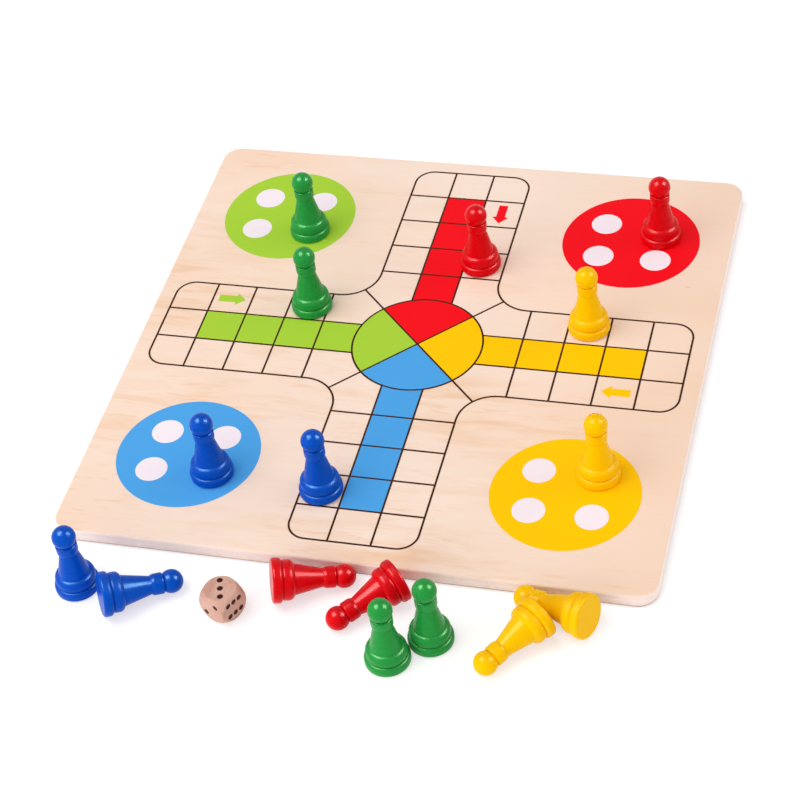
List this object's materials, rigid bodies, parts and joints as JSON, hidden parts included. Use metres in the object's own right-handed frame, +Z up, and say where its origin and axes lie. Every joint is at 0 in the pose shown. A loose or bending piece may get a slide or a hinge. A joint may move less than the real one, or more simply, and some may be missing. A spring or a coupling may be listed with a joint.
{
  "type": "ludo board",
  "caption": "Square plywood ludo board with a printed cross-shaped track, home discs and centre circle, with turned wooden pawns on and beside it and a rounded wooden die.",
  "frame": {"origin": "on the board's underside, below the middle of the track, level with the table that the loose pieces lie on", "axes": "+Z up out of the printed face, +Y from the blue side to the red side of the track, +X from the green side to the yellow side"},
  "size_m": [0.3, 0.3616, 0.048],
  "materials": {
    "face_birch": "pale rotary-cut veneer, sanded and clear matt varnished",
    "crossband_wood": "end grain of the cross plies, sanded",
    "core_wood": "long grain of the core ply, sanded",
    "line_ink": "screen-printed ink",
    "red_ink": "screen-printed ink",
    "yellow_ink": "screen-printed ink",
    "blue_ink": "screen-printed ink",
    "green_ink": "screen-printed ink",
    "white_ink": "screen-printed ink",
    "red_paint": "turned wood, dipped in gloss paint",
    "yellow_paint": "turned wood, dipped in gloss paint",
    "blue_paint": "turned wood, dipped in gloss paint",
    "green_paint": "turned wood, dipped in gloss paint",
    "die_wood": "beech, tumbled and waxed",
    "pip_paint": "paint in a drilled recess"
  },
  "bodies": {
    "board": {"face_veneer": "face_birch", "upper_crossband": "crossband_wood", "core_ply": "core_wood", "lower_crossband": "crossband_wood", "back_veneer": "face_birch", "track_line_print": "line_ink", "red_print": "red_ink", "yellow_print": "yellow_ink", "blue_print": "blue_ink", "green_print": "green_ink", "white_spot_print": "white_ink"},
    "red_home_pawn": {"red_home_pawn": "red_paint"},
    "red_track_pawn": {"red_track_pawn": "red_paint"},
    "red_loose_pawn_a": {"red_loose_pawn_a": "red_paint"},
    "red_loose_pawn_b": {"red_loose_pawn_b": "red_paint"},
    "yellow_home_pawn": {"yellow_home_pawn": "yellow_paint"},
    "yellow_track_pawn": {"yellow_track_pawn": "yellow_paint"},
    "yellow_loose_pawn_a": {"yellow_loose_pawn_a": "yellow_paint"},
    "yellow_loose_pawn_b": {"yellow_loose_pawn_b": "yellow_paint"},
    "blue_home_pawn": {"blue_home_pawn": "blue_paint"},
    "blue_track_pawn": {"blue_track_pawn": "blue_paint"},
    "blue_loose_pawn_a": {"blue_loose_pawn_a": "blue_paint"},
    "blue_loose_pawn_b": {"blue_loose_pawn_b": "blue_paint"},
    "green_home_pawn": {"green_home_pawn": "green_paint"},
    "green_track_pawn": {"green_track_pawn": "green_paint"},
    "green_loose_pawn_a": {"green_loose_pawn_a": "green_paint"},
    "green_loose_pawn_b": {"green_loose_pawn_b": "green_paint"},
    "die": {"die": "die_wood", "die_pips": "pip_paint"}
  },
  "joints": [
    {"name": "red_home_lift", "type": "slide", "parent": "board", "child": "red_home_pawn", "axis": [0, 0, 1], "range_m": [0, 0.06]},
    {"name": "red_track_move", "type": "slide", "parent": "board", "child": "red_track_pawn", "axis": [0, 1, 0], "range_m": [-0.02165, 0.06495]},
    {"name": "red_loose_a_lift", "type": "slide", "parent": "board", "child": "red_loose_pawn_a", "axis": [0, 0, 1], "range_m": [0, 0.06]},
    {"name": "red_loose_b_lift", "type": "slide", "parent": "board", "child": "red_loose_pawn_b", "axis": [0, 0, 1], "range_m": [0, 0.06]},
    {"name": "yellow_home_lift", "type": "slide", "parent": "board", "child": "yellow_home_pawn", "axis": [0, 0, 1], "range_m": [0, 0.06]},
    {"name": "yellow_track_move", "type": "slide", "parent": "board", "child": "yellow_track_pawn", "axis": [1, 0, 0], "range_m": [-0.0433, 0.0433]},
    {"name": "yellow_loose_a_lift", "type": "slide", "parent": "board", "child": "yellow_loose_pawn_a", "axis": [0, 0, 1], "range_m": [0, 0.06]},
    {"name": "yellow_loose_b_lift", "type": "slide", "parent": "board", "child": "yellow_loose_pawn_b", "axis": [0, 0, 1], "range_m": [0, 0.06]},
    {"name": "blue_home_lift", "type": "slide", "parent": "board", "child": "blue_home_pawn", "axis": [0, 0, 1], "range_m": [0, 0.06]},
    {"name": "blue_track_move", "type": "slide", "parent": "board", "child": "blue_track_pawn", "axis": [0, 1, 0], "range_m": [-0.02165, 0.06495]},
    {"name": "blue_loose_a_lift", "type": "slide", "parent": "board", "child": "blue_loose_pawn_a", "axis": [0, 0, 1], "range_m": [0, 0.06]},
    {"name": "blue_loose_b_lift", "type": "slide", "parent": "board", "child": "blue_loose_pawn_b", "axis": [0, 0, 1], "range_m": [0, 0.06]},
    {"name": "green_home_lift", "type": "slide", "parent": "board", "child": "green_home_pawn", "axis": [0, 0, 1], "range_m": [0, 0.06]},
    {"name": "green_track_move", "type": "slide", "parent": "board", "child": "green_track_pawn", "axis": [1, 0, 0], "range_m": [-0.06495, 0.02165]},
    {"name": "green_loose_a_lift", "type": "slide", "parent": "board", "child": "green_loose_pawn_a", "axis": [0, 0, 1], "range_m": [0, 0.06]},
    {"name": "green_loose_b_lift", "type": "slide", "parent": "board", "child": "green_loose_pawn_b", "axis": [0, 0, 1], "range_m": [0, 0.06]},
    {"name": "die_lift", "type": "slide", "parent": "board", "child": "die", "axis": [0, 0, 1], "range_m": [0, 0.06]}
  ]
}
